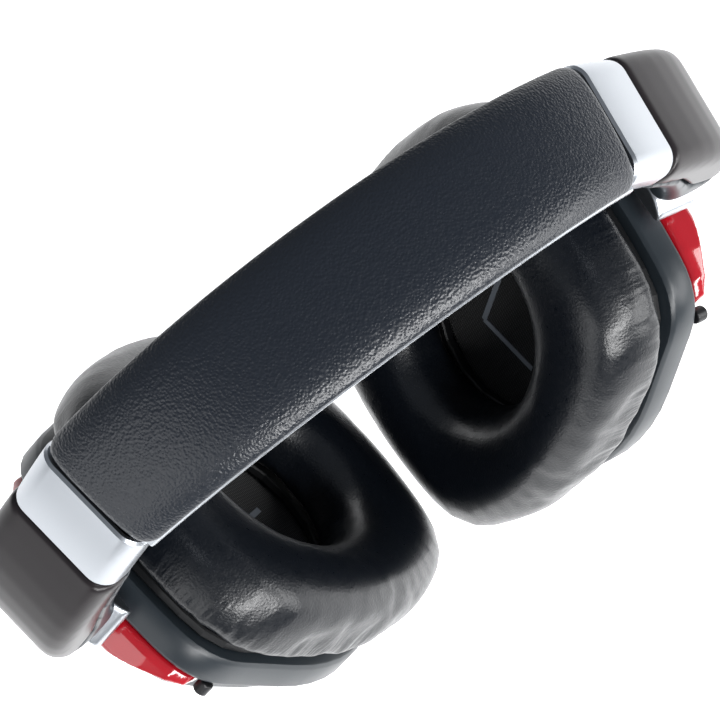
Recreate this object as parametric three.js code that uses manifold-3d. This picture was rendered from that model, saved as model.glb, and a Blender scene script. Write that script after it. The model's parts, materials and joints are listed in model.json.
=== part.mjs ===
// Over-ear studio headphones: a sprung headband with a slider, a tilt hinge and a swivelling cup
// at each end. Millimetres, +Z up, +X to the wearer's left, +Y to the back of the head.
// The origin is the middle of the head cushion's underside, where it rests on the head.

import * as THREE from 'three';
import { mergeVertices } from 'three/addons/utils/BufferGeometryUtils.js';
import { ParametricGeometry } from 'three/addons/geometries/ParametricGeometry.js';
import Module from 'manifold-3d';

const wasm = await Module();
wasm.setup();

// ---- Driving dimensions ----

const GAP = 0.3; // between pieces that are fixed to each other
const RUNNING_GAP = 0.35; // between pieces that turn or slide past each other
const BORE_GAP = 0.08; // round a pin that turns in its bore

// Headband: every layer is an arc about one axis along Y, below the origin.
const BAND_UNDER_R = 73.5; // underside of the head cushion
const CUSHION_TOP_R = 80;
const SPRING_R = [80.5, 81.7];
const FRAME_R = [82.3, 83.8];
const TOP_PAD_R = [84.1, 87];
const BAND_WIDTH = 28.4;
const CUSHION_HALF_WIDTH = 12.8;
const CUSHION_CORNER = 2.4;
const SPRING_HALF_WIDTH = 7;
const TOP_PAD_CORNER = 1.4;
const FRAME_TONGUE_HALF_WIDTH = 10.4; // tongue of the frame inside each cuff
const FRAME_TONGUE_ANGLE = 3;
const CUSHION_END = 29.5; // degrees from the top of the arc
const CUFF_START = 44;
const CUFF_END = 54.6;
const ARC_SEGMENTS = 120; // in a full turn
const TOE = 8; // degrees that each side turns in towards the front
const TOE_PIVOT_X = 64;
const BAND_SKEW = 0.0027; // extra length of the band per millimetre towards the back

// Cuffs and the slider that runs through each
const CUFF_WIDTH = 26.2;
const CUFF_R = [76, 87];
const CUFF_CORNER = 4.5;
const CUFF_WALL = 1.3;
const CUFF_SCREW_ANGLE = 48;
const CUFF_SCREW_Y = 9;
const CUFF_SCREW_RADIUS = 0.8;
const CUFF_SCREW_DEPTH = 3;
const GUIDE_R = [77.8, 81.7];
const GUIDE_WIDTH = 21;
const GUIDE_CORNER = 1.6;
const SLIDE_ANGLE = 47; // degrees below horizontal
const SLIDER_EXIT = [65.05, -26.95];
const SLIDER_WIDTH = 15;
const SLIDER_THICKNESS = 1.4;
const SLIDER_INSIDE = 22; // length in the guide with the slider pushed home
const SLIDER_OUTSIDE = 11; // length held in the end piece

// End piece and its tilt hinge
const HINGE = [80, -55.5]; // x and z of the pin
const END_RADIUS = 8.8; // round lower end of the end piece
const END_WIDTH = 27.2;
const END_CORNER = 4;
const END_OUTER_PULL = 11.4; // how far the outer curve first keeps the cuff's line
const END_OUTER_TURN = 14; // height above the pin at which it turns straight down
const END_OUTER_BULGE = 1.2;
const END_INNER_PULL = 5;
const END_INNER_TURN = 9;
const PARTING_LINE = [[52, -21], [63, -25.5], [73.3, -39], [78, -53], [83.8, -58.4], [95, -60]]; // x, z
const KNUCKLE_RADIUS = 5.2;
const KNUCKLE_WIDTH = 16.4;
const PIN_RADIUS = 1.5;
const PIN_LENGTH = 22;
const TONGUE_HALF_WIDTH = 5; // of the knuckle's tongue, down inside the arm
const TONGUE_HALF_THICKNESS = 2;
const TONGUE_BOTTOM = 55.6;

// Cup: its frame has X outwards, Y to the back and Z up, on the back plane of the rim.
const CUP_LEAN = 26; // degrees, bottoms towards each other
const CUP_SLANT = 8; // degrees, tops towards the back
const HINGE_ABOVE_CUP = 69.4;
const HINGE_INBOARD = 1.9;
const RIM_HALF_WIDTH = 46;
const RIM_HALF_HEIGHT = 52.5;
const RIM_SHOULDER = [31, 47.5]; // y and z of the corners between top, flanks and bottom
const RIM_THICKNESS = 7.6;
const RIM_WALL = 9; // from the rim's edge to its inner opening
const PAD_PLATE_THICKNESS = 2.3;
const PAD_THICKNESS = 20;
const PAD_OVERHANG = 2.4; // pad past the rim's edge
const PAD_OPENING = [21.5, 28.5]; // half width and half height
const PAD_ROUNDNESS = 0.72; // 1 is a round section, less is a boxier one
const PAD_SEGMENTS = 40;
const HOUSING_DEPTH = 12.5;
const HOUSING_INSET = 5.5;
const HOUSING_EDGE = 10;
const HOUSING_WALL = 2;
const COVER_INSET = 18;
const COVER_THICKNESS = 2;
const SWIVEL_X = 2.8; // outward of the rim's back plane
const SWIVEL_PIN_RADIUS = 2;
const SWIVEL_PIN_Z = [40, 56];
const BEARING_HALF_WIDTH = 7;
const BEARING_BOTTOM = 43;
const ARM_X = [-5, 6.2];
const ARM_NECK_HALF_WIDTH = 8.4;
const FOOT_HALF_WIDTH = 13;
const FOOT_THICKNESS = 2.4;
const FOOT_BOTTOM = 53.6;
const ACCENT_HALF_WIDTH = 29.5;
const ACCENT_INSET = 0.4;
const ACCENT_DEPTH = 9.5;
const ACCENT_TIP_DEPTH = 3; // at its two ends
const ACCENT_FLAT = 12; // half the length that keeps the full depth
const NUB_RADIUS = 1.8;
const DRIVER_RADIUS = 20;
const MAGNET_RADIUS = 12.6;
const CLOTH_X = [-6.6, -5.9];
const JACK = [6, -8]; // x and y of the cable socket
const JACK_RADIUS = 3;
const JACK_Z = [-46.8, -35];

// Puts a flat facet at the origin.
const BAND_CENTRE_Z = -BAND_UNDER_R * Math.cos(Math.PI / ARC_SEGMENTS);
const DEG = Math.PI / 180;

// ---- Materials ----

const finish = (color, roughness, metalness = 0) =>
  () => new THREE.MeshStandardMaterial({ color, roughness, metalness });

const leather = finish('#16181b', 0.55);
const satinAluminium = finish('#c9ced3', 0.32, 1);
const springSteel = finish('#8d9094', 0.35, 1);
const greyPlastic = finish('#4a4c50', 0.45);
const slatePlastic = finish('#2c3237', 0.5);
const blackPlastic = finish('#17181a', 0.5);
const redGloss = finish('#b5121f', 0.15);
const acousticCloth = finish('#08090a', 0.95);
const magnetSteel = finish('#9aa0a6', 0.4, 1);
const diaphragmFilm = finish('#3a3d42', 0.3);
const brass = finish('#b59a5b', 0.3, 1);

// ---- Solids: join and cut ----

function toSolid(geometry) {
  const bare = geometry.clone();
  bare.deleteAttribute('normal');
  bare.deleteAttribute('uv');
  const merged = mergeVertices(bare, 1e-4);
  return new wasm.Manifold(new wasm.Mesh({
    numProp: 3,
    vertProperties: new Float32Array(merged.attributes.position.array),
    triVerts: new Uint32Array(merged.index.array),
  }));
}

function toGeometry(solid) {
  const mesh = solid.getMesh();
  const geometry = new THREE.BufferGeometry();
  geometry.setAttribute('position', new THREE.BufferAttribute(mesh.vertProperties, 3));
  geometry.setIndex(new THREE.BufferAttribute(mesh.triVerts, 1));
  return geometry;
}

const cut = (body, ...tools) =>
  toGeometry(tools.reduce((left, tool) => left.subtract(toSolid(tool)), toSolid(body)));
const join = (...pieces) =>
  toGeometry(pieces.slice(1).reduce((all, piece) => all.add(toSolid(piece)), toSolid(pieces[0])));
const common = (a, b) => toGeometry(toSolid(a).intersect(toSolid(b)));

function flipFaces(geometry) {
  const index = geometry.index.array;
  for (let i = 0; i < index.length; i += 3) [index[i], index[i + 1]] = [index[i + 1], index[i]];
  return geometry;
}

function mirrorX(geometry) {
  const bare = geometry.clone();
  bare.deleteAttribute('normal');
  bare.deleteAttribute('uv');
  return flipFaces(mergeVertices(bare, 1e-4).scale(-1, 1, 1));
}

// ---- Basic forms ----

// A flat outline made solid from low to high along its normal, with rounded edges.
function slab(shape, low, high, edge = 0, edgeSegments = 2, curveSegments = 6) {
  const geometry = new THREE.ExtrudeGeometry(shape, {
    depth: high - low - 2 * edge,
    bevelEnabled: edge > 0,
    bevelThickness: edge,
    bevelSize: edge,
    bevelOffset: -edge,
    bevelSegments: edgeSegments,
    curveSegments,
  });
  return geometry.translate(0, 0, low + edge);
}

// An outline drawn in X and Z, made solid across Y.
const acrossY = (shape, halfWidth, edge = 0, segments = 3) =>
  slab(shape, -halfWidth, halfWidth, edge, segments, 8).rotateX(Math.PI / 2);

// An outline drawn in Y and Z, made solid along X.
function alongX(shape, low, high, edge = 0, segments = 2) {
  const turn = new THREE.Matrix4().makeBasis(
    new THREE.Vector3(0, 1, 0), new THREE.Vector3(0, 0, 1), new THREE.Vector3(1, 0, 0));
  return slab(shape, low, high, edge, segments).applyMatrix4(turn);
}

const polygon = (points) => new THREE.Shape(points.map(([x, y]) => new THREE.Vector2(x, y)));

// A closed polygon with its corners rounded: each corner is [x, y, length taken off each side].
function roundedPolygon(corners, steps = 3) {
  const at = (i) => new THREE.Vector2(...corners[(i + corners.length) % corners.length]);
  const points = corners.flatMap(([x, y, trim], i) => {
    const corner = new THREE.Vector2(x, y);
    const from = at(i - 1).sub(corner).setLength(trim).add(corner);
    const to = at(i + 1).sub(corner).setLength(trim).add(corner);
    return new THREE.QuadraticBezierCurve(from, corner, to).getPoints(steps);
  });
  return new THREE.Shape(points.filter((p, i) => p.distanceTo(points.at(i - 1)) > 1e-3));
}

const box = (low, high) => new THREE.BoxGeometry(...high.map((h, i) => h - low[i]))
  .translate(...high.map((h, i) => (h + low[i]) / 2));

const rodY = (radius, length, segments = 24) =>
  new THREE.CylinderGeometry(radius, radius, length, segments);
const rodX = (radius, low, high, segments = 32) =>
  rodY(radius, high - low, segments).rotateZ(-Math.PI / 2).translate((low + high) / 2, 0, 0);
const rodZ = (radius, low, high, segments = 20) =>
  rodY(radius, high - low, segments).rotateX(Math.PI / 2).translate(0, 0, (low + high) / 2);

// ---- Headband ----

const onArc = (radius, degrees) => [
  radius * Math.sin(degrees * DEG), BAND_CENTRE_Z + radius * Math.cos(degrees * DEG)];

// A wedge of the XZ plane between two angles of the headband's arc, solid across Y.
function wedge(from, to) {
  const reach = 140; // beyond every piece, as the half width of 40 is
  const middle = (from + to) / 2;
  const corners = [[0, BAND_CENTRE_Z], onArc(reach, from), onArc(reach, middle), onArc(reach, to)];
  return acrossY(polygon(corners), 40);
}

// A section drawn as [radius, y] pairs, swept round the headband's arc between two angles.
function arcPiece(section, from, to) {
  const profile = [...section, section[0]].map(([radius, y]) => new THREE.Vector2(radius, y));
  const ring = new THREE.LatheGeometry(profile, ARC_SEGMENTS, Math.PI / ARC_SEGMENTS);
  return common(ring.translate(0, 0, BAND_CENTRE_Z), wedge(from, to));
}

const GAP_ANGLE = 0.25; // degrees between pieces that meet end to end

// The band is a little wider at the top than at its ends, and its rear edge is the longer one.
const TAPER = 1 - CUFF_WIDTH / BAND_WIDTH;

function shapeBand(geometry) {
  const points = geometry.attributes.position;
  for (let i = 0; i < points.count; i++) {
    const [x, y] = [points.getX(i), points.getY(i)];
    const narrower = 1 - TAPER * Math.min(1, (x / TOE_PIVOT_X) ** 2);
    points.setXY(i, x * (1 + BAND_SKEW * y * narrower), y * narrower);
  }
  return geometry;
}

// [radius, y] corners of a rectangle with rounded or cut corners
function roundedSection([low, high], halfWidth, corner, steps = 3) {
  const section = [];
  const centres = [[high - corner, halfWidth - corner, 0], [low + corner, halfWidth - corner, 90],
    [low + corner, corner - halfWidth, 180], [high - corner, corner - halfWidth, 270]];
  for (const [radius, y, start] of centres) {
    for (let i = 0; i <= steps; i++) {
      const turn = (start + 90 * i / steps) * DEG;
      section.push([radius + corner * Math.cos(turn), y + corner * Math.sin(turn)]);
    }
  }
  return section;
}

const topPad = () => shapeBand(arcPiece(
  roundedSection(TOP_PAD_R, BAND_WIDTH / 2, TOP_PAD_CORNER),
  -CUFF_START + GAP_ANGLE, CUFF_START - GAP_ANGLE));

// A strip that shows as a thin edge under the top pad, with a tongue into each cuff
const headbandFrame = () => shapeBand(join(
  arcPiece(roundedSection(FRAME_R, BAND_WIDTH / 2, 0.5, 1),
    -CUFF_START + GAP_ANGLE, CUFF_START - GAP_ANGLE),
  arcPiece(roundedSection(FRAME_R, FRAME_TONGUE_HALF_WIDTH, 0.4, 1),
    -CUFF_START - FRAME_TONGUE_ANGLE, CUFF_START + FRAME_TONGUE_ANGLE)));

const springBand = () =>
  shapeBand(arcPiece(roundedSection(SPRING_R, SPRING_HALF_WIDTH, 0.3, 1), -CUSHION_END, CUSHION_END));

const headCushion = () => shapeBand(arcPiece(
  roundedSection([BAND_UNDER_R, CUSHION_TOP_R], CUSHION_HALF_WIDTH, CUSHION_CORNER),
  -CUSHION_END, CUSHION_END));

function cuff() {
  const [low, high] = CUFF_R;
  const half = CUFF_WIDTH / 2;
  const outside = roundedSection(CUFF_R, half, CUFF_CORNER, 4);
  const inside = roundedSection(
    [low + CUFF_WALL, high - CUFF_WALL], half - CUFF_WALL, CUFF_CORNER - CUFF_WALL);
  return cut(arcPiece(outside, CUFF_START, CUFF_END), arcPiece(inside, CUFF_START - 2, CUFF_END + 2),
    ...[-1, 1].map((side) => cuffScrewHole(side)));
}

// The slider strip lies along this frame: X along the slide, outwards and down, from the cuff's mouth.
function alongSlide(geometry) {
  const [x, z] = SLIDER_EXIT;
  return geometry.rotateY(SLIDE_ANGLE * DEG).translate(x, 0, z);
}

const cuffScrewHole = (side) => onUnderside(rodZ(CUFF_SCREW_RADIUS + GAP, -4, CUFF_SCREW_DEPTH), side);

function onUnderside(geometry, side) {
  const [x, z] = onArc(CUFF_R[0], CUFF_SCREW_ANGLE);
  return geometry.rotateY(CUFF_SCREW_ANGLE * DEG).translate(x, side * CUFF_SCREW_Y, z);
}

// Countersunk stub of a screw in the cuff's underside
const cuffScrew = (side) => onUnderside(rodZ(CUFF_SCREW_RADIUS, -0.1, CUFF_SCREW_DEPTH, 12), side);

function sliderGuide() {
  const clear = RUNNING_GAP;
  const slot = box(
    [-SLIDER_INSIDE - clear, -SLIDER_WIDTH / 2 - clear, -SLIDER_THICKNESS / 2 - clear],
    [20, SLIDER_WIDTH / 2 + clear, SLIDER_THICKNESS / 2 + clear]);
  const holes = [-1, 1].map((side) => cuffScrewHole(side));
  const section = roundedSection(GUIDE_R, GUIDE_WIDTH / 2, GUIDE_CORNER, 2);
  return cut(arcPiece(section, CUSHION_END + 0.8, CUFF_END - 0.4), alongSlide(slot), ...holes);
}

// ---- Slider and end piece ----

const sliderStrip = () => alongSlide(box(
  [-SLIDER_INSIDE, -SLIDER_WIDTH / 2, -SLIDER_THICKNESS / 2],
  [SLIDER_OUTSIDE, SLIDER_WIDTH / 2, SLIDER_THICKNESS / 2]));

// Side outline of the end piece: it carries the cuff's line on, then turns down round the hinge pin.
function endOutline() {
  const [hx, hz] = HINGE;
  const past = CUFF_END - 8; // the solid starts inside the cuff and is cut off at its mouth
  const [ox, oz] = onArc(CUFF_R[1], CUFF_END);
  const [ix, iz] = onArc(CUFF_R[0], CUFF_END);
  const shape = new THREE.Shape();
  shape.moveTo(...onArc(CUFF_R[0], past));
  shape.lineTo(...onArc(CUFF_R[1], past));
  shape.lineTo(ox, oz);
  shape.bezierCurveTo(ox + END_OUTER_PULL, oz - 0.95 * END_OUTER_PULL,
    hx + END_RADIUS + END_OUTER_BULGE, hz + END_OUTER_TURN, hx + END_RADIUS, hz);
  shape.absarc(hx, hz, END_RADIUS, 0, -Math.PI, true);
  shape.bezierCurveTo(hx - END_RADIUS, hz + END_INNER_TURN,
    ix + END_INNER_PULL, iz - 1.32 * END_INNER_PULL, ix, iz);
  return shape.closePath();
}

const hingeRod = (radius, length, segments) =>
  rodY(radius, length, segments).translate(HINGE[0], 0, HINGE[1]);

// The whole end piece before it is parted into two shells
function endBody() {
  const [hx, hz] = HINGE;
  const half = KNUCKLE_WIDTH / 2 + RUNNING_GAP;
  const knuckleRoom = KNUCKLE_RADIUS + 0.6;
  const slot = RUNNING_GAP;
  const stripRoom = alongSlide(box(
    [-4, -SLIDER_WIDTH / 2 - slot, -SLIDER_THICKNESS / 2 - slot],
    [SLIDER_OUTSIDE + slot, SLIDER_WIDTH / 2 + slot, SLIDER_THICKNESS / 2 + slot]));
  return cut(
    acrossY(endOutline(), END_WIDTH / 2, END_CORNER, 4),
    wedge(CUFF_END - 30, CUFF_END + 0.3),
    stripRoom,
    hingeRod(knuckleRoom, 2 * half, 24),
    box([hx - knuckleRoom, -half, hz - 20], [hx + knuckleRoom, half, hz]),
    box([hx - 20, -half, hz - 20], [hx, half, hz]),
    hingeRod(PIN_RADIUS + GAP, PIN_LENGTH + 2 * GAP, 24));
}

// The part of the end piece that the inner shell takes: the inboard side and the round bottom
function innerRegion(grow) {
  const line = PARTING_LINE.map(([x, z]) => [x + grow, z + grow]);
  const below = HINGE[1] - 3 * END_RADIUS;
  return acrossY(polygon([...line, [line.at(-1)[0], below], [line[0][0], below]]), END_WIDTH);
}

const endShellOuter = () => cut(endBody(), innerRegion(GAP));
const endShellInner = () => common(endBody(), innerRegion(0));

const hingePin = () => hingeRod(PIN_RADIUS, PIN_LENGTH, 20);

// ---- Arm: knuckle, silver foot, swivel pin ----

const cupLean = CUP_LEAN * DEG;
const cupSlant = CUP_SLANT * DEG;
const outward = new THREE.Vector3(Math.cos(cupLean), 0, -Math.sin(cupLean));
const up = new THREE.Vector3(
  Math.cos(cupSlant) * Math.sin(cupLean), Math.sin(cupSlant), Math.cos(cupSlant) * Math.cos(cupLean));
const cupOrigin = new THREE.Vector3(HINGE[0], 0, HINGE[1])
  .addScaledVector(outward, HINGE_INBOARD).addScaledVector(up, -HINGE_ABOVE_CUP);
const cupRotation = new THREE.Euler(-cupSlant, cupLean, 0, 'ZYX');
const cupMatrix = new THREE.Matrix4().makeRotationFromEuler(cupRotation).setPosition(cupOrigin);
const intoCup = cupMatrix.clone().invert();

const ARM_TOP = HINGE_ABOVE_CUP - END_RADIUS - 1.8;

// Barrel of the tilt hinge, with a tongue down into the arm, in the cup's frame
function hingeKnuckle() {
  const barrel = hingeRod(KNUCKLE_RADIUS, KNUCKLE_WIDTH, 24).applyMatrix4(intoCup);
  const tongue = box(
    [-HINGE_INBOARD - TONGUE_HALF_THICKNESS, -TONGUE_HALF_WIDTH, TONGUE_BOTTOM],
    [-HINGE_INBOARD + TONGUE_HALF_THICKNESS, TONGUE_HALF_WIDTH, HINGE_ABOVE_CUP]);
  const bore = hingeRod(PIN_RADIUS + BORE_GAP, KNUCKLE_WIDTH + 4, 24).applyMatrix4(intoCup);
  return cut(join(barrel, tongue), bore);
}

// Silver arm: it grips the knuckle's tongue and spreads along the cup's top
function arm() {
  const [foot, neck] = [FOOT_HALF_WIDTH, ARM_NECK_HALF_WIDTH];
  const footTop = FOOT_BOTTOM + FOOT_THICKNESS;
  const shape = roundedPolygon([
    [-foot, FOOT_BOTTOM, 1], [foot, FOOT_BOTTOM, 1], [foot, footTop, 1.3],
    [neck, ARM_TOP, 2], [-neck, ARM_TOP, 2], [-foot, footTop, 1.3]]);
  const socketHalf = TONGUE_HALF_THICKNESS + GAP;
  const socket = box(
    [-HINGE_INBOARD - socketHalf, -TONGUE_HALF_WIDTH - GAP, TONGUE_BOTTOM - GAP],
    [-HINGE_INBOARD + socketHalf, TONGUE_HALF_WIDTH + GAP, HINGE_ABOVE_CUP]);
  const pinHole = rodZ(SWIVEL_PIN_RADIUS + GAP, FOOT_BOTTOM - 5, SWIVEL_PIN_Z[1] + GAP);
  return cut(alongX(shape, ...ARM_X, 0.4, 1), socket, pinHole.translate(SWIVEL_X, 0, 0));
}

const swivelPin = () => rodZ(SWIVEL_PIN_RADIUS, ...SWIVEL_PIN_Z).translate(SWIVEL_X, 0, 0);

function swivelWasher() {
  const ring = rodZ(3.6, RIM_HALF_HEIGHT + 0.2, FOOT_BOTTOM - GAP, 24);
  return cut(ring, rodZ(SWIVEL_PIN_RADIUS + GAP, 50, 56)).translate(SWIVEL_X, 0, 0);
}

// Spring clip in a groove below the housing's bearing: it keeps the cup on the swivel pin.
function swivelClip() {
  const ring = rodZ(3.5, SWIVEL_PIN_Z[0] + 1, SWIVEL_PIN_Z[0] + 2, 24);
  return cut(ring, rodZ(SWIVEL_PIN_RADIUS + GAP, 38, 45)).translate(SWIVEL_X, 0, 0);
}

// ---- Cup ----

// The rim's faceted outline, drawn in by an inset all round
const FACET_TRIMS = [14, 11, 20];
const SOFT_TRIMS = [16.5, 14.5, 33];

function cupOutline(inset = 0, [top, shoulder, flank] = FACET_TRIMS) {
  const across = 1 - inset / RIM_HALF_WIDTH;
  const high = 1 - inset / RIM_HALF_HEIGHT;
  const [shoulderY, shoulderZ] = RIM_SHOULDER;
  const half = [[0, -RIM_HALF_HEIGHT, top], [shoulderY, -shoulderZ, shoulder],
    [RIM_HALF_WIDTH, 0, flank], [shoulderY, shoulderZ, shoulder]];
  const corners = [...half, ...half.map(([y, z, trim]) => [-y, -z, trim])];
  return roundedPolygon(corners.map(([y, z, trim]) => [y * across, z * high, trim * across]));
}

function ellipse(halfWidth, halfHeight) {
  const shape = new THREE.Shape();
  return shape.absellipse(0, 0, halfWidth, halfHeight, 0, 2 * Math.PI);
}

function withHole(shape, hole) {
  shape.holes.push(new THREE.Path(hole.getPoints(10)));
  return shape;
}

const rim = () => alongX(withHole(cupOutline(), cupOutline(RIM_WALL)), -RIM_THICKNESS, 0, 0.9);

const padPlate = () => {
  const outer = -RIM_THICKNESS - GAP;
  return alongX(withHole(cupOutline(3), ellipse(25, 32)), outer - PAD_PLATE_THICKNESS, outer, 0.4, 1);
};

// The pad is a closed tube that follows the rim's outline outside and an oval inside.
function earPad() {
  const outline = cupOutline(-PAD_OVERHANG, SOFT_TRIMS);
  const base = -RIM_THICKNESS - PAD_PLATE_THICKNESS - 2 * GAP;
  const middle = base - PAD_THICKNESS / 2;
  const power = (value, exponent) => Math.sign(value) * Math.abs(value) ** exponent;
  const [wide, high] = PAD_OPENING;
  const ring = new ParametricGeometry((u, v, target) => {
    const outer = outline.getPointAt(u % 1);
    const angle = Math.atan2(outer.y, outer.x);
    const opening = 1 / Math.hypot(Math.cos(angle) / wide, Math.sin(angle) / high);
    const turn = (v % 1) * 2 * Math.PI;
    const across = 0.5 + 0.5 * power(Math.cos(turn), PAD_ROUNDNESS);
    const radius = opening + (outer.length() - opening) * across;
    target.set(middle + PAD_THICKNESS / 2 * power(Math.sin(turn), PAD_ROUNDNESS),
      radius * Math.cos(angle), radius * Math.sin(angle));
  }, PAD_SEGMENTS, 12);
  return outwardFaces(ring);
}

// Turns a closed surface's faces outwards if its volume comes out negative.
function outwardFaces(geometry) {
  const bare = geometry.clone();
  bare.deleteAttribute('normal');
  bare.deleteAttribute('uv');
  const merged = mergeVertices(bare, 1e-4);
  return toSolid(merged).volume() < 0 ? flipFaces(merged) : merged;
}

function rearHousing(side) {
  const low = GAP;
  const outer = alongX(cupOutline(HOUSING_INSET), low - 20, HOUSING_DEPTH, HOUSING_EDGE, 3);
  const inner = alongX(cupOutline(HOUSING_INSET + HOUSING_WALL),
    low - 24, HOUSING_DEPTH - HOUSING_WALL, HOUSING_EDGE - HOUSING_WALL, 3);
  const front = box([-40, -80, -80], [low, 80, 80]);
  const bearing = common(outer,
    box([low, -BEARING_HALF_WIDTH, BEARING_BOTTOM], [SWIVEL_X + 6, BEARING_HALF_WIDTH, 60]));
  const bore = rodZ(SWIVEL_PIN_RADIUS + BORE_GAP, 30, 60).translate(SWIVEL_X, 0, 0);
  const shell = cut(outer, inner, front);
  const holes = side > 0 ? [bore, jackTube(JACK_RADIUS + GAP)] : [bore];
  return cut(join(shell, bearing), ...holes);
}

// Flat cover disc on the outside of the housing
const outerCover = () =>
  alongX(cupOutline(COVER_INSET), HOUSING_DEPTH + GAP, HOUSING_DEPTH + GAP + COVER_THICKNESS, 0.7);

// Housing grown by a fixed gap, for cutting what lies on it
const housingRoom = () =>
  alongX(cupOutline(HOUSING_INSET - GAP), -20, HOUSING_DEPTH + GAP, HOUSING_EDGE, 3);

// Red crescent over the top of the cup behind the rim, tapering to both ends
function accentCap() {
  const [end, tip, deep, flat] = [ACCENT_HALF_WIDTH, ACCENT_TIP_DEPTH, ACCENT_DEPTH, ACCENT_FLAT];
  const crescent = alongX(cupOutline(ACCENT_INSET), GAP, deep, 2.2, 3);
  const taper = slab(
    polygon([[0, -end], [tip, -end], [deep, -flat], [deep, flat], [tip, end], [0, end]]), 20, 60);
  const pinHole = rodZ(SWIVEL_PIN_RADIUS + RUNNING_GAP, 30, 60).translate(SWIVEL_X, 0, 0);
  return cut(common(crescent, taper), housingRoom(), pinHole);
}

// Black plug at the front end of the crescent
const accentNub = () => cut(
  rodX(NUB_RADIUS, GAP, 3.2, 16).translate(0, -ACCENT_HALF_WIDTH - NUB_RADIUS - 0.4, 39.6), housingRoom());

const driverFrame = () => cut(
  rodX(DRIVER_RADIUS, -4.2, 0.2, 28),
  rodX(DRIVER_RADIUS - 3, -6, -2.6, 28),
  rodX(MAGNET_RADIUS + 2 * GAP, -6, 2, 24));
const magnet = () => rodX(MAGNET_RADIUS, -1.8, 6, 24);
const diaphragm = () => rodX(DRIVER_RADIUS - 3.4, -4, -3, 28);
const baffle = () => cut(
  alongX(cupOutline(RIM_WALL + GAP), -3.4, -1.4), rodX(DRIVER_RADIUS + GAP, -6, 2, 28));
const clothScreen = () => alongX(cupOutline(RIM_WALL + 2), ...CLOTH_X);

// Cable socket in the bottom of the left housing
const jackTube = (radius) => rodZ(radius, ...JACK_Z, 24).translate(...JACK, 0);
const jackSocket = () =>
  cut(jackTube(JACK_RADIUS), rodZ(1.75, -60, JACK_Z[1] - 2, 16).translate(...JACK, 0));

// ---- Assembly ----

const headphones = new THREE.Group();

function add(parent, name, geometry, material, side = 1) {
  const mesh = new THREE.Mesh(side > 0 ? geometry : mirrorX(geometry), material());
  mesh.name = name;
  parent.add(mesh);
}

add(headphones, 'top_pad', topPad(), leather);
add(headphones, 'headband_frame', headbandFrame(), satinAluminium);
add(headphones, 'spring_band', springBand(), springSteel);
add(headphones, 'head_cushion', headCushion(), leather);

// A group placed on one side of the head. The right side is the mirror image of the left.
function sideGroup(parent, side, [x, y, z], rotation) {
  const group = new THREE.Group();
  group.position.set(side * x, y, z);
  group.rotation.set(rotation.x, side * rotation.y, side * rotation.z, 'ZYX');
  parent.add(group);
  return group;
}

for (const [side, label] of [[1, 'left'], [-1, 'right']]) {
  const toed = sideGroup(headphones, side, [TOE_PIVOT_X, 0, 0], { x: 0, y: 0, z: -TOE * DEG });
  const arc = sideGroup(toed, side, [-TOE_PIVOT_X, 0, 0], { x: 0, y: 0, z: 0 });
  const cup = sideGroup(arc, side, cupOrigin.toArray(), cupRotation);
  const onArm = (name, geometry, material) => add(arc, `${name}_${label}`, geometry, material, side);
  const onCup = (name, geometry, material) => add(cup, `${name}_${label}`, geometry, material, side);

  onArm('cuff', cuff(), satinAluminium);
  onArm('slider_guide', sliderGuide(), blackPlastic);
  onArm('cuff_screw_front', cuffScrew(-1), springSteel);
  onArm('cuff_screw_rear', cuffScrew(1), springSteel);

  onArm('slider_strip', sliderStrip(), springSteel);
  onArm('end_shell_outer', endShellOuter(), greyPlastic);
  onArm('end_shell_inner', endShellInner(), slatePlastic);
  onArm('hinge_pin', hingePin(), springSteel);

  onCup('hinge_knuckle', hingeKnuckle(), blackPlastic);
  onCup('arm', arm(), satinAluminium);
  onCup('swivel_pin', swivelPin(), springSteel);

  onCup('swivel_washer', swivelWasher(), blackPlastic);
  onCup('swivel_clip', swivelClip(), springSteel);
  onCup('rim', rim(), slatePlastic);
  onCup('pad_plate', padPlate(), blackPlastic);
  onCup('ear_pad', earPad(), leather);
  onCup('rear_housing', rearHousing(side), slatePlastic);
  onCup('outer_cover', outerCover(), satinAluminium);
  onCup('accent_cap', accentCap(), redGloss);
  onCup('accent_nub', accentNub(), blackPlastic);
  onCup('baffle', baffle(), blackPlastic);
  onCup('driver_frame', driverFrame(), blackPlastic);
  onCup('magnet', magnet(), magnetSteel);
  onCup('diaphragm', diaphragm(), diaphragmFilm);
  onCup('cloth_screen', clothScreen(), acousticCloth);
  if (side > 0) onCup('cable_socket', jackSocket(), brass);
}

export default headphones;
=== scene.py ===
"""Over-ear headphones: finished surfaces over the CAD frame. Lengths are worked in millimetres and
turned to metres as each mesh is made. +X is the wearer's left, +Y the back of the head, +Z up."""

import json
import math

import bmesh
import bpy
import numpy as np
from mathutils import Matrix, Vector, noise


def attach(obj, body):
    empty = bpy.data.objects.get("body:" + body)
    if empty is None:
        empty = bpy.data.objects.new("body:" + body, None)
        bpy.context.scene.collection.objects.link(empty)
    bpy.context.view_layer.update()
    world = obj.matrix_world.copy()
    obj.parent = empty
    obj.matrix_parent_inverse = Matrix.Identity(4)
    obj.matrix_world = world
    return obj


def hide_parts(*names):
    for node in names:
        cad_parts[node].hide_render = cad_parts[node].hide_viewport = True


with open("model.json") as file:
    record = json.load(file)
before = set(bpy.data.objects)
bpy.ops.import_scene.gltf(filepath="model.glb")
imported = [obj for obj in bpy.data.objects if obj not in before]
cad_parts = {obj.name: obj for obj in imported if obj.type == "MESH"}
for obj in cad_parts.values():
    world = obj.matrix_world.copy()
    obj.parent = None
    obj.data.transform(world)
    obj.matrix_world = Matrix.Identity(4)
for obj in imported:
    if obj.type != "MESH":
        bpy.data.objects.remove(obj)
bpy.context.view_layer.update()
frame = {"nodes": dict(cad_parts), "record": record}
body_of = {n: body for body, nodes in frame["record"]["behaviour"]["bodies"].items() for n in nodes}


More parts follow.
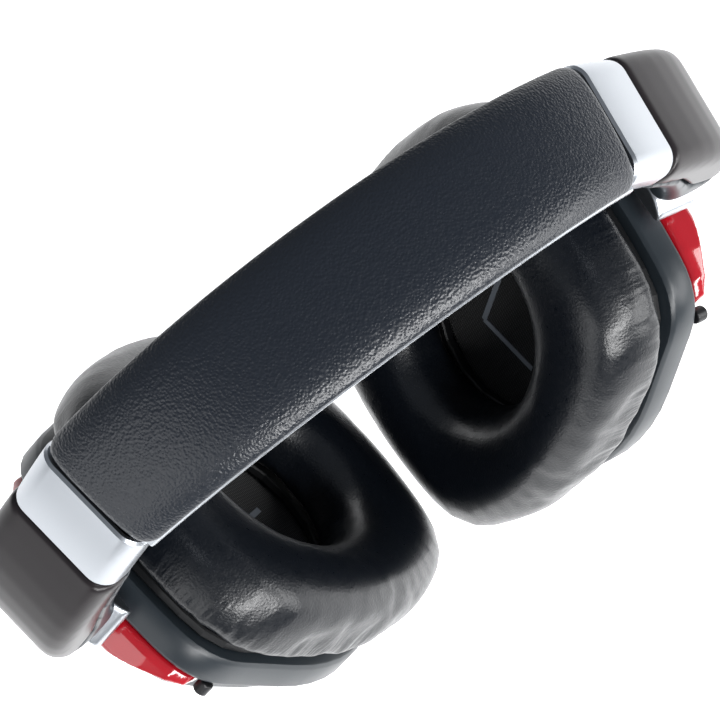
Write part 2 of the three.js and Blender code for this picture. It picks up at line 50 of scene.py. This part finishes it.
# ---- Headband frame ----
# A strip of aluminium rolled to the arc of the head, which carries every other layer of the band.
# Its two edges stand clear of the pad above and show as fine bright lines.

def linear(code):
    channels = [int(code[i:i + 2], 16) / 255 for i in (1, 3, 5)]
    return (*[c / 12.92 if c <= 0.04045 else ((c + 0.055) / 1.055) ** 2.4 for c in channels], 1.0)


def wire(tree, made, inputs):
    """Sets a node's inputs: each is a value, or another node's output to link."""
    for name, value in inputs.items():
        if isinstance(value, bpy.types.NodeSocket):
            tree.links.new(value, made.inputs[name])
        else:
            made.inputs[name].default_value = value


def node(tree, kind, inputs=None, **settings):
    made = tree.nodes.new(kind)
    for name, value in settings.items():
        setattr(made, name, value)
    wire(tree, made, inputs or {})
    return made


def finish(name, colour, **inputs):
    """A Principled material: returns it, its tree, its shader and Object coordinates in metres."""
    material = bpy.data.materials.new(name)
    material.use_nodes = True
    tree = material.node_tree
    shader = tree.nodes["Principled BSDF"]
    wire(tree, shader, {"Base Color": linear(colour)})
    wire(tree, shader, {key.replace("_", " "): value for key, value in inputs.items()})
    coords = node(tree, "ShaderNodeTexCoord").outputs["Object"]
    return material, tree, shader, coords


def metal(name, colour, roughness):
    """Bare, plated or anodised metal. The scatter of blasting or rolling breaks up its sheen."""
    material, tree, shader, coords = finish(name, colour, Metallic=1.0, Roughness=roughness)
    grit = node(tree, "ShaderNodeTexNoise", {"Vector": coords, "Scale": 3200.0, "Detail": 2.0})
    sheen = node(tree, "ShaderNodeMapRange", {
        "Value": grit.outputs["Fac"], "To Min": roughness - 0.05, "To Max": roughness + 0.06})
    relief = node(tree, "ShaderNodeBump", {
        "Height": grit.outputs["Fac"], "Distance": 0.00002, "Strength": 0.3})
    wire(tree, shader, {"Roughness": sheen.outputs["Result"], "Normal": relief.outputs["Normal"]})
    return material


def piece(name, points, faces, smooth=True):
    """A mesh from points in millimetres, with its faces turned outwards."""
    mesh = bpy.data.meshes.new(name)
    mesh.from_pydata((np.asarray(points, float) / 1000).tolist(), [], faces)
    form = bmesh.new()
    form.from_mesh(mesh)
    bmesh.ops.recalc_face_normals(form, faces=form.faces)
    form.to_mesh(mesh)
    form.free()
    mesh.shade_smooth() if smooth else mesh.shade_flat()
    made = bpy.data.objects.new(name, mesh)
    bpy.context.scene.collection.objects.link(made)
    return made


def loops(rings, ends):
    """Faces between rings of points: the ends are "joined" to each other, or each is "capped"."""
    count, around = len(rings), len(rings[0])
    at = lambda i, j: (i % count) * around + j % around
    last = count if ends == "joined" else count - 1
    faces = [(at(i, j), at(i, j + 1), at(i + 1, j + 1), at(i + 1, j))
             for i in range(last) for j in range(around)]
    if ends == "capped":
        faces += [tuple(at(0, j) for j in range(around))[::-1],
                  tuple(at(count - 1, j) for j in range(around))]
    return np.concatenate(rings), faces


def fit(made, cad_node, material):
    """The piece takes a CAD node's place and body, in the given material."""
    made.data.materials.clear()
    made.data.materials.append(material)
    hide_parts(cad_node)
    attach(made, body_of[cad_node])
    return made


def edge_angle(made, degrees):
    """Smooth shading that keeps edges sharper than an angle."""
    made.data.shade_smooth()
    made.data.set_sharp_from_angle(angle=math.radians(degrees))
    return made


# All layers of the band are arcs about one axis. The band narrows a little to its ends, and its
# rear edge is the longer one.
ARC_Z = -73.475
BAND_END = 43.75
NARROWING, NARROWEST_X = 0.0775, 64.0
SKEW = 0.0027


def on_band(radius, degrees, y):
    turn = np.radians(degrees)
    x, z = radius * np.sin(turn), ARC_Z + radius * np.cos(turn)
    narrower = 1 - NARROWING * np.minimum(1, (x / NARROWEST_X) ** 2)
    return np.stack(np.broadcast_arrays(x * (1 + SKEW * y * narrower), y * narrower, z), axis=-1)


# Bead-blasted, clear-anodised aluminium: a soft grey sheen with no brushing lines.
blasted_aluminium = metal("blasted_anodised_aluminium", "#b2b6bb", 0.32)

EDGE = [(82.3, -13.9), (82.6, -14.2), (83.5, -14.2), (83.8, -13.9)]
strip = np.array(EDGE + [(radius, -y) for radius, y in reversed(EDGE)])
rings = [on_band(strip[:, 0], degrees, strip[:, 1])
         for degrees in np.linspace(-BAND_END, BAND_END, 121)]
band_frame = piece("headband_frame_strip", *loops(rings, "capped"))
fit(edge_angle(band_frame, 32), "headband_frame", blasted_aluminium)


# ---- Spring band ----
# A strip of tempered steel under the frame, which presses the cups to the head. It keeps its CAD
# form, with the fine grey of cold rolling.

def recoat(cad_node, material):
    """A CAD node stays as it is, in a finish of its own."""
    slots = frame["nodes"][cad_node].data.materials
    slots.clear()
    slots.append(material)


spring_steel = metal("rolled_spring_steel", "#8f9297", 0.32)
recoat("spring_band", spring_steel)


# ---- Head cushion ----
# Protein leather over thick foam, glued under the band and stitched along both edges. The leather is
# cut small and stuffed, so it is taut, with a low pebbled grain.

def grained_leather(name, colour, grain, roughness, pebble, folded=False):
    """Coated leather: pebbles under a millimetre wide in a soft, broken sheen, and drawn folds."""
    material, tree, shader, coords = finish(name, colour, Roughness=roughness, IOR=1.5)
    pebbles = node(tree, "ShaderNodeTexVoronoi", {"Vector": coords, "Scale": 1 / grain},
                   feature="SMOOTH_F1")
    creases = node(tree, "ShaderNodeTexNoise", {"Vector": coords, "Scale": 170.0, "Detail": 4.0})
    worn = node(tree, "ShaderNodeTexNoise", {"Vector": coords, "Scale": 900.0, "Detail": 3.0})
    sheen = node(tree, "ShaderNodeMapRange", {
        "Value": worn.outputs["Fac"], "To Min": roughness - 0.09, "To Max": roughness + 0.12})
    relief = node(tree, "ShaderNodeBump", {
        "Height": creases.outputs["Fac"], "Distance": 0.0002, "Strength": 0.1})
    if folded:
        path = node(tree, "ShaderNodeAttribute", attribute_name="fold_path").outputs["Vector"]
        depth = node(tree, "ShaderNodeAttribute", attribute_name="fold_depth").outputs["Fac"]
        folds = node(tree, "ShaderNodeTexNoise", {"Vector": path, "Scale": 0.42, "Detail": 2.5})
        drawn = node(tree, "ShaderNodeMath", {0: folds.outputs["Fac"], 1: depth}, operation="MULTIPLY")
        relief = node(tree, "ShaderNodeBump", {
            "Height": drawn.outputs["Value"], "Distance": 0.0016, "Strength": 0.7,
            "Normal": relief.outputs["Normal"]})
    relief = node(tree, "ShaderNodeBump", {
        "Height": pebbles.outputs["Distance"], "Distance": pebble, "Strength": 0.9,
        "Normal": relief.outputs["Normal"]})
    wire(tree, shader, {"Roughness": sheen.outputs["Result"], "Normal": relief.outputs["Normal"]})
    return material


def signed_power(value, exponent):
    return np.sign(value) * np.abs(value) ** exponent


def padded_strip(name, middle, half_thick, half_wide, end, corner, crown, step):
    """A stuffed strip along the band, crowned across, with rounded corners and rolled ends."""
    turn = np.linspace(0, 2 * np.pi, 56, endpoint=False)
    across, high = signed_power(np.cos(turn), 0.42), signed_power(np.sin(turn), 0.6)
    length = math.radians(end) * middle
    inner = np.linspace(-length + corner, length - corner, int(2 * length / step))
    roll = corner * (1 - np.cos(np.linspace(0.12, np.pi / 2, 12)))
    stations = np.concatenate([-length + roll[:-1], inner, (length - roll[:-1])[::-1]])
    rings = []
    for station in stations:
        from_end = length - abs(station)
        lost = max(0.0, corner - from_end)
        wide = half_wide - (corner - math.sqrt(max(0.0, corner ** 2 - lost ** 2)))
        thick = half_thick * min(1.0, math.sqrt(max(0.02, 1 - (1 - min(1.0, from_end / 2.2)) ** 2)))
        y = wide * across
        fall = np.abs(y / half_wide)
        rise = crown * (1 - 0.45 * fall ** 2 - 0.55 * fall ** 5) * (thick / half_thick) * (high > 0)
        rings.append(on_band(middle + thick * high + rise, np.degrees(station / middle), y))
    return piece(name, *loops(rings, "capped"))


def bake(made):
    """Applies a piece's modifiers to its mesh."""
    view = bpy.context.evaluated_depsgraph_get()
    mesh = bpy.data.meshes.new_from_object(made.evaluated_get(view))
    made.modifiers.clear()
    made.data = mesh
    return made


LAST_STEP = 20


def blow_up(made, held, pressure):
    """The leather filled with air by cloth simulation, as a new mesh."""
    scene = bpy.context.scene
    pins = made.vertex_groups.new(name="held")
    pins.add([v.index for v in made.data.vertices if held(np.array(v.co) * 1000)], 1.0, "REPLACE")
    cloth = made.modifiers.new("cover", "CLOTH")
    cloth.settings.use_pressure = True
    cloth.settings.uniform_pressure_force = pressure
    cloth.settings.effector_weights.gravity = 0.0
    cloth.settings.vertex_group_mass = "held"
    cloth.settings.quality = 6
    cloth.settings.shrink_min = -0.025
    cloth.point_cache.frame_start, cloth.point_cache.frame_end = 1, LAST_STEP
    for step in range(1, LAST_STEP + 1):
        scene.frame_set(step)
    view = bpy.context.evaluated_depsgraph_get()
    mesh = bpy.data.meshes.new_from_object(made.evaluated_get(view))
    scene.frame_set(1)
    return mesh


def stuff(made, voxel, cap, held, pressure):
    """Stuffs a leather cover, moving no point more than cap."""
    remesh = made.modifiers.new("voxels", "REMESH")
    remesh.mode, remesh.voxel_size = "VOXEL", voxel / 1000
    bake(made)
    before = np.array([v.co for v in made.data.vertices])
    mesh = blow_up(made, held, pressure)
    moved = np.array([v.co for v in mesh.vertices]) - before
    size = np.linalg.norm(moved, axis=1, keepdims=True)
    moved *= np.minimum(1, cap / 1000 / np.maximum(size, 1e-9))
    mesh.vertices.foreach_set("co", (before + moved).ravel())
    made.modifiers.clear()
    made.vertex_groups.clear()
    made.data = mesh
    refine = made.modifiers.new("refine", "SUBSURF")
    refine.levels = refine.render_levels = 1
    bake(made).data.shade_smooth()
    return made


# Protein leather, a soft coated fabric: near black, with a smoother, glossier skin than cowhide.
pad_leather = grained_leather("protein_leather_black", "#090d13", 0.0005, 0.3, 0.00005, folded=True)

cushion = padded_strip("head_cushion_cover", 76.8, 3.1, 12.6, 29.3, 4.0, 0.0, 1.0)
stuff(cushion, 1.6, 0.5, lambda point: False, 2.0)
fit(cushion, "head_cushion", pad_leather)


# ---- Cushion stitches ----
# A lockstitch of bonded nylon thread along each long edge of the head cushion, a bead of thread
# every 3.2 mm, laid along two lines by geometry nodes.

def moulded_plastic(name, colour, roughness, **inputs):
    """Injection-moulded plastic: a spark-eroded grain too fine to see, only as a satin break-up."""
    material, tree, shader, coords = finish(name, colour, Roughness=roughness, IOR=1.46, **inputs)
    grain = node(tree, "ShaderNodeTexNoise", {"Vector": coords, "Scale": 2600.0, "Detail": 2.0})
    flow = node(tree, "ShaderNodeTexNoise", {"Vector": coords, "Scale": 45.0, "Detail": 2.0})
    sheen = node(tree, "ShaderNodeMapRange", {
        "Value": flow.outputs["Fac"], "To Min": roughness - 0.04, "To Max": roughness + 0.05})
    relief = node(tree, "ShaderNodeBump", {
        "Height": grain.outputs["Fac"], "Distance": 0.00003, "Strength": 0.35})
    wire(tree, shader, {"Roughness": sheen.outputs["Result"], "Normal": relief.outputs["Normal"]})
    return material


def stitch_tree():
    tree = bpy.data.node_groups.new("stitches", "GeometryNodeTree")
    interface = tree.interface
    interface.new_socket("Geometry", in_out="INPUT", socket_type="NodeSocketGeometry")
    spacing = interface.new_socket("Spacing", in_out="INPUT", socket_type="NodeSocketFloat")
    thread = interface.new_socket("Thread", in_out="INPUT", socket_type="NodeSocketMaterial")
    interface.new_socket("Geometry", in_out="OUTPUT", socket_type="NodeSocketGeometry")
    given = node(tree, "NodeGroupInput").outputs
    line = node(tree, "GeometryNodeMeshToCurve", {"Mesh": given["Geometry"]})
    spots = node(tree, "GeometryNodeCurveToPoints", {"Curve": line.outputs["Curve"],
                 "Length": given["Spacing"]}, mode="LENGTH")
    bead = node(tree, "GeometryNodeMeshUVSphere", {"Segments": 10, "Rings": 6, "Radius": 0.001})
    stitches = node(tree, "GeometryNodeInstanceOnPoints", {
        "Points": spots.outputs["Points"], "Instance": bead.outputs["Mesh"],
        "Rotation": spots.outputs["Rotation"], "Scale": (0.22, 0.22, 1.0)})
    real = node(tree, "GeometryNodeRealizeInstances", {"Geometry": stitches.outputs["Instances"]})
    coated = node(tree, "GeometryNodeSetMaterial", {"Geometry": real.outputs["Geometry"],
                  "Material": given["Thread"]})
    node(tree, "NodeGroupOutput", {"Geometry": coated.outputs["Geometry"]})
    return tree, spacing.identifier, thread.identifier


nylon_thread = moulded_plastic("bonded_nylon_thread_black", "#0d0e10", 0.42)
stitching, spacing_input, thread_input = stitch_tree()
STITCH_SPACING = 3.2
SEAM_RADIUS, SEAM_Y = 73.86, 10.6
stations = np.arange(-26, 26.1, 1.0)
for edge, y in (("front", -SEAM_Y), ("rear", SEAM_Y)):
    seam = on_band(np.full(len(stations), SEAM_RADIUS), stations, np.full(len(stations), y)) / 1000
    stitches = piece(f"cushion_stitches_{edge}", [], [])
    stitches.data.from_pydata(seam.tolist(), [(i, i + 1) for i in range(len(seam) - 1)], [])
    laid = stitches.modifiers.new("stitching", "NODES")
    laid.node_group = stitching
    laid[spacing_input] = STITCH_SPACING / 1000
    laid[thread_input] = nylon_thread
    bake(stitches).data.shade_smooth()
    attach(stitches, "headband")


# ---- Top pad ----
# Embossed cowhide over thin foam, rolled over the frame's edges and tucked in at both cuffs. It is
# crowned across, so a broad light draws one long streak down its front edge.

# Cowhide with an embossed grain: blue-black, each pebble half a millimetre wide.
headband_leather = grained_leather("embossed_cowhide_black", "#151a22", 0.0005, 0.31, 0.00012)
top_pad = padded_strip("top_pad_leather", 84.95, 0.85, 14.15, BAND_END, 4.8, 1.9, 0.7)
fit(top_pad, "top_pad", headband_leather)


# ---- Cuffs ----
# An aluminium sleeve closes each end of the band, with a bright cut chamfer round both mouths. Two
# nickel-plated screws hold it from below to the plastic guide that the slider runs in.

SIDES = {"left": 1, "right": -1}
TOE, TOE_X = math.radians(8), 64.0  # each side turns in a little towards the front


def on_side(points, side):
    """Turns points in by the toe angle. The right side is the left one's mirror image."""
    points = np.asarray(points, float)
    x, y, z = points[..., 0] - TOE_X, points[..., 1], points[..., 2]
    toed = [TOE_X + x * math.cos(TOE) + y * math.sin(TOE), y * math.cos(TOE) - x * math.sin(TOE), z]
    return np.stack([side * toed[0], toed[1], toed[2]], axis=-1)


def rounded_box(low, high, half, corner, steps=9):
    section = []
    for radius, y, start in ((high - corner, half - corner, 0), (low + corner, half - corner, 90),
                             (low + corner, corner - half, 180), (high - corner, corner - half, 270)):
        for i in range(steps + 1):
            turn = math.radians(start + 90 * i / steps)
            section.append((radius + corner * math.cos(turn), y + corner * math.sin(turn)))
    return np.array(section)


def cuff_ring(degrees, inset):
    section = rounded_box(76 + inset, 87 - inset, 13.1 - inset, 4.5 - inset)
    turn = math.radians(degrees)
    radius, y = section[:, 0], section[:, 1]
    return np.stack([radius * math.sin(turn), y, ARC_Z + radius * math.cos(turn)], axis=-1)


black_abs = moulded_plastic("satin_abs_black", "#0d0e10", 0.42)
nickel = metal("nickel_plated_steel", "#a7abb0", 0.25)
WALL, CHAMFER = 1.3, 0.5
CUFF = [(44.1, WALL), (44.1, CHAMFER), (44.5, 0.0)] + [(d, 0.0) for d in np.arange(45, 54, 0.7)]
CUFF += [(54.15, 0.0), (54.55, CHAMFER), (54.55, WALL)]
for label, side in SIDES.items():
    rings = [on_side(cuff_ring(*station), side) for station in CUFF]
    sleeve = piece(f"cuff_sleeve_{label}", *loops(rings, "joined"))
    fit(edge_angle(sleeve, 25), f"cuff_{label}", blasted_aluminium)
    recoat(f"slider_guide_{label}", black_abs)
    recoat(f"cuff_screw_front_{label}", nickel)
    recoat(f"cuff_screw_rear_{label}", nickel)


# ---- Sliders and end pieces ----
# A spring steel strip slides out of each cuff. Two moulded shells clamp its lower end and carry the
# cuff's line down round the tilt hinge, whose steel pin shows at both sides.

def softened(cad_node, material, voxel, rounds):
    """A moulded or cast piece from its CAD form, with the tool's radius on every edge."""
    made = bpy.data.objects.new(f"{cad_node}_shell", frame["nodes"][cad_node].data.copy())
    bpy.context.scene.collection.objects.link(made)
    remesh = made.modifiers.new("voxels", "REMESH")
    remesh.mode, remesh.voxel_size, remesh.use_smooth_shade = "VOXEL", voxel / 1000, True
    smooth = made.modifiers.new("edge_radius", "SMOOTH")
    smooth.factor, smooth.iterations = 0.5, rounds
    bake(made).data.shade_smooth()
    return fit(made, cad_node, material)


# Two shades of ABS from a textured tool: it holds the light in a soft satin, with no clear highlight.
warm_grey_abs = moulded_plastic("satin_abs_warm_grey", "#1f1b1d", 0.32, Specular_IOR_Level=0.36)
slate_abs = moulded_plastic("satin_abs_slate", "#20262b", 0.36)
for label in SIDES:
    recoat(f"slider_strip_{label}", spring_steel)
    softened(f"end_shell_outer_{label}", warm_grey_abs, 0.45, 40)
    softened(f"end_shell_inner_{label}", slate_abs, 0.42, 26)
    recoat(f"hinge_pin_{label}", nickel)


# ---- Arms and swivels ----
# A satin metal arm grips the hinge knuckle and spreads along the top of the cup. A steel pin runs
# down from it into the housing on a plastic washer, and a spring clip keeps it there.

for label in SIDES:
    recoat(f"hinge_knuckle_{label}", black_abs)
    softened(f"arm_{label}", blasted_aluminium, 0.35, 4)
    recoat(f"swivel_pin_{label}", nickel)
    recoat(f"swivel_washer_{label}", black_abs)
    recoat(f"swivel_clip_{label}", spring_steel)


# ---- Rims ----
# A moulded slate ring, a rounded polygon in outline, which frames each cup. Its bevels catch a thin
# line of light along both edges.

HINGE = np.array([80.0, 0.0, -55.5])
LEAN, SLANT = math.radians(26), math.radians(8)
HINGE_ABOVE_CUP, HINGE_INBOARD = 69.4, 1.9
cup_turn = np.array(Matrix.Rotation(LEAN, 3, "Y") @ Matrix.Rotation(-SLANT, 3, "X"))
outward = np.array([math.cos(LEAN), 0, -math.sin(LEAN)])
cup_middle = HINGE + HINGE_INBOARD * outward - HINGE_ABOVE_CUP * cup_turn[:, 2]


def in_cup(points, side):
    """From a cup's own frame, with X outwards from the back of its rim, to the headphones' frame."""
    return on_side(np.asarray(points, float) @ cup_turn.T + cup_middle, side)


HALF_WIDTH, HALF_HEIGHT = 46.0, 52.5
SHOULDER = (31.0, 47.5)


def cup_outline(inset, trims=(14.0, 11.0, 20.0), steps=7, straight=5):
    """The rim's outline drawn in by an inset. Trims are cut off at top, shoulders and flanks."""
    across, high = 1 - inset / HALF_WIDTH, 1 - inset / HALF_HEIGHT
    y, z = SHOULDER
    half = [(0, -HALF_HEIGHT, trims[0]), (y, -z, trims[1]), (HALF_WIDTH, 0, trims[2]), (y, z, trims[1])]
    corners = half + [(-y, -z, trim) for y, z, trim in half]
    spots = [np.array([y * across, z * high]) for y, z, _ in corners]
    unit = lambda v: v / np.linalg.norm(v)
    outline = []
    for i, (_, _, trim) in enumerate(corners):
        corner, before, after = spots[i], spots[i - 1], spots[(i + 1) % 8]
        start = corner + unit(before - corner) * trim * across
        end = corner + unit(after - corner) * trim * across
        for t in np.linspace(0, 1, steps):
            outline.append((1 - t) ** 2 * start + 2 * t * (1 - t) * corner + t * t * end)
        following = corners[(i + 1) % 8]
        reach = after + unit(corner - after) * following[2] * across
        for t in np.linspace(0, 1, straight + 2)[1:-1]:
            outline.append(end + (reach - end) * t)
    return np.array(outline)


def cup_ring(x, inset):
    outline = cup_outline(inset)
    return np.column_stack([np.full(len(outline), x), outline])


RIM = [(-7.6, 9.0), (-7.6, 1.3), (-7.45, 0.75), (-6.9, 0.2), (-6.4, 0.0), (-1.2, 0.0), (-0.7, 0.2),
       (-0.15, 0.75), (0.0, 1.3), (0.0, 9.0)]
for label, side in SIDES.items():
    rings = [in_cup(cup_ring(x, inset), side) for x, inset in RIM]
    rim = piece(f"rim_ring_{label}", *loops(rings, "joined"))
    fit(edge_angle(rim, 24), f"rim_{label}", slate_abs)


# ---- Ear pads ----
# A fat roll of protein leather over foam, on a plastic plate that clips to the rim. It is fullest
# towards the oval opening, and creased where the leather is drawn in under the plate.

PAD_OVERHANG = 2.9
PAD_SHIFT = [0.9, 0.5]  # the roll sags a little to the front and down
PAD_MIDDLE, PAD_HALF_DEPTH = -20.9, 10.2
OPENING = (21.5, 28.5)


def pad_rings(stations=168, around=52):
    trims = (16.5, 14.5, 33.0)
    outline = cup_outline(-PAD_OVERHANG, trims, steps=11, straight=1) - PAD_SHIFT
    walk = np.vstack([outline, outline[:1]])
    run = np.concatenate([[0], np.cumsum(np.linalg.norm(np.diff(walk, axis=0), axis=1))])
    spots = np.linspace(0, run[-1], stations, endpoint=False)
    edge = np.column_stack([np.interp(spots, run, walk[:, k]) for k in (0, 1)])
    turn = np.linspace(0, 2 * np.pi, around, endpoint=False)
    rings = []
    for y, z in edge:
        angle = math.atan2(z, y)
        opening = 1 / math.hypot(math.cos(angle) / OPENING[0], math.sin(angle) / OPENING[1])
        boxy = np.where(np.sin(turn) < 0, 0.5, 0.8)
        across = 0.5 + 0.5 * signed_power(np.cos(turn), boxy)
        radius = opening + (math.hypot(y, z) - opening) * across
        x = PAD_MIDDLE - PAD_HALF_DEPTH * signed_power(np.sin(turn), boxy)
        rings.append(np.column_stack([x, radius * math.cos(angle), radius * math.sin(angle)]))
    return rings


def crease(made, side):
    """Attributes for the leather: where a point lies along the roll, and how deep its folds are.
    The roll also swells and dips a fifth of a millimetre, as hand-stuffed foam does."""
    spots = np.array([v.co for v in made.data.vertices]) * 1000 * [side, 1, 1]
    x, y, z = spots[:, 0] - TOE_X, spots[:, 1], spots[:, 2]
    arm = np.stack([TOE_X + x * math.cos(TOE) - y * math.sin(TOE),
                    y * math.cos(TOE) + x * math.sin(TOE), z], axis=-1)
    x, y, z = ((arm - cup_middle) @ cup_turn).T
    angle, reach = np.arctan2(z, y), np.hypot(y, z)
    path = np.column_stack([45 * np.cos(angle), 45 * np.sin(angle), 0.12 * x])
    depth = np.clip((x + 24) / 13, 0, 1) ** 1.3 * np.where(reach > 34, 1.0, 0.35)
    attributes = made.data.attributes
    attributes.new("fold_path", "FLOAT_VECTOR", "POINT").data.foreach_set("vector", path.ravel())
    attributes.new("fold_depth", "FLOAT", "POINT").data.foreach_set("value", depth)
    for vertex, (px, py, pz) in zip(made.data.vertices, np.column_stack([x, y, z])):
        swell = noise.noise(Vector((px * 0.05, py * 0.05, pz * 0.05 + side * 5)))
        vertex.co += vertex.normal * 0.22 * swell / 1000
    return made


PAD_BASE = -10.5
for label, side in SIDES.items():
    recoat(f"pad_plate_{label}", black_abs)
    rings = [in_cup(ring, side) for ring in pad_rings()]
    pad = piece(f"ear_pad_cover_{label}", *loops(rings, "joined"))
    base = in_cup([[PAD_BASE, 0, 0]], side)[0]
    out = in_cup([[1.0, 0, 0]], side)[0] - in_cup([[0.0, 0, 0]], side)[0]
    stuff(pad, 2.8, 0.8, lambda point: (point - base) @ out > -2.0, 4.0)
    fit(crease(pad, side), f"ear_pad_{label}", pad_leather)


# ---- Rear housings ----
# A moulded slate bowl closes the back of each cup, under a flat aluminium cover. A polished red
# crescent lies over its top, with a black rubber plug at the front end.

# Polished ABS under clear lacquer, which gives the red its wet, sharp highlights.
red_gloss = moulded_plastic("polished_abs_red", "#9a0e1b", 0.16, Coat_Weight=1.0, Coat_Roughness=0.04)
brass = metal("plated_brass", "#b99c5a", 0.25)
for label in SIDES:
    softened(f"rear_housing_{label}", slate_abs, 0.6, 6)
    softened(f"outer_cover_{label}", blasted_aluminium, 0.45, 4)
    softened(f"accent_cap_{label}", red_gloss, 0.32, 16)
    softened(f"accent_nub_{label}", black_abs, 0.25, 3)
recoat("cable_socket_left", brass)


# ---- Drivers ----
# A plastic baffle carries the driver: a basket with its magnet behind and a film diaphragm in front.
# A black knit hides them, with the side mark printed on it in grey.

film = moulded_plastic("pet_film_grey", "#3a3d42", 0.22)
mark_ink = moulded_plastic("screen_ink_grey", "#7d838b", 0.6)

# Acoustic knit: its threads are drawn 0.8 mm apart, coarser than real, so that the weave shows.
acoustic_cloth, tree, shader, coords = finish(
    "acoustic_knit_black", "#060708", Roughness=0.95, Sheen_Weight=0.15)
threads = [node(tree, "ShaderNodeTexWave", {"Vector": coords, "Scale": 390.0, "Distortion": 0.4},
                bands_direction=axis) for axis in "YZ"]
weave = node(tree, "ShaderNodeMath", {0: threads[0].outputs["Fac"], 1: threads[1].outputs["Fac"]},
             operation="MULTIPLY")
relief = node(tree, "ShaderNodeBump", {
    "Height": weave.outputs["Value"], "Distance": 0.0002, "Strength": 0.6})
wire(tree, shader, {"Normal": relief.outputs["Normal"]})

CLOTH_FACE = (-6.62, -6.78)  # the ink's two faces, just proud of the cloth
STROKE_WIDTH = 1.5
MARKS = {
    "left": [((8.7, 0.9), (4.7, -17.0)), ((4.7, -16.9), (-13.2, -12.0))],
    "right": [((-9.0, -19.5), (-5.0, -1.0)), ((-5.0, -1.0), (3.4, -3.1)), ((3.4, -3.1), (1.6, -11.3)),
              ((1.6, -11.3), (-6.8, -9.5)), ((-1.5, -10.7), (0.8, -21.5))],
}
BOX_FACES = ((0, 1, 2, 3), (7, 6, 5, 4), (0, 4, 5, 1), (1, 5, 6, 2), (2, 6, 7, 3), (3, 7, 4, 0))


def strokes(name, lines, side):
    """Flat strokes on the cloth, each from one (y, z) spot to the next: the wearer's L or R."""
    points, faces = [], []
    for start, end in lines:
        start, end = np.array(start, float), np.array(end, float)
        along = (end - start) / np.linalg.norm(end - start)
        across = np.array([-along[1], along[0]]) * STROKE_WIDTH / 2
        first = len(points)
        for x in CLOTH_FACE:
            for y, z in (start + across, start - across, end - across, end + across):
                points.append([x, y, z])
        faces += [tuple(first + k for k in face) for face in BOX_FACES]
    return piece(name, in_cup(points, side), faces, smooth=False)


for label, side in SIDES.items():
    recoat(f"baffle_{label}", black_abs)
    recoat(f"driver_frame_{label}", black_abs)
    recoat(f"magnet_{label}", nickel)
    recoat(f"diaphragm_{label}", film)
    recoat(f"cloth_screen_{label}", acoustic_cloth)
    mark = strokes(f"side_mark_{label}", MARKS[label], side)
    mark.data.materials.append(mark_ink)
    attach(mark, f"{label}_cup")


# ---- Studio ----
# A lit white sweep under the headphones, one long soft light in front, and two small ones low at the
# sides.

floor = piece("studio_floor", [(-4000, -4000, -230), (4000, -4000, -230), (4000, 4000, -230),
                               (-4000, 4000, -230)], [(0, 1, 2, 3)], smooth=False)
paper, tree, shader, _ = finish("lit_white_paper", "#f7f7f7", Roughness=0.9)
wire(tree, shader, {"Emission Color": linear("#ffffff"), "Emission Strength": 0.72})
floor.data.materials.append(paper)

scene = bpy.context.scene
world = bpy.data.worlds.new("studio")
world.use_nodes = True
scene.world = world
wire(world.node_tree, world.node_tree.nodes["Background"],
     {"Color": linear("#e9f0fa"), "Strength": 0.26})


def softbox(name, spot, target, size, power):
    light = bpy.data.lights.new(name, "AREA")
    light.shape, light.size, light.size_y = "RECTANGLE", size[0], size[1]
    light.energy = power
    lamp = bpy.data.objects.new(name, light)
    lamp.location = spot
    lamp.rotation_euler = (Vector(target) - Vector(spot)).to_track_quat("-Z", "Y").to_euler()
    scene.collection.objects.link(lamp)


softbox("front_box", (0.05, -0.7, 0.6), (0, 0, -0.03), (1.4, 0.22), 19)
softbox("left_box", (0.78, -0.55, 0.16), (0, 0, -0.1), (0.6, 0.3), 4)
softbox("right_box", (-0.9, -0.1, 0.3), (0, 0, -0.06), (0.5, 0.7), 2)

# The camera looks down on the headband from just in front of it, with the band across the view.
camera = bpy.data.objects.new("camera", bpy.data.cameras.new("camera"))
scene.collection.objects.link(camera)
camera.data.lens, camera.data.sensor_width = 100.0, 36.0
camera.data.clip_start = 0.01
right = Vector((0.80088, -0.59882, 0.00165))
down = Vector((-0.59118, -0.79110, -0.15708))
ahead = Vector((0.09536, 0.12482, -0.98759))
turn = Matrix([right, -down, -ahead]).transposed().to_4x4()
camera.matrix_world = Matrix.Translation((-0.04002, -0.05463, 0.35271)) @ turn
scene.camera = camera
scene.render.resolution_x = scene.render.resolution_y = 720
scene.view_settings.view_transform = "Standard"
scene.view_settings.exposure = 0.0
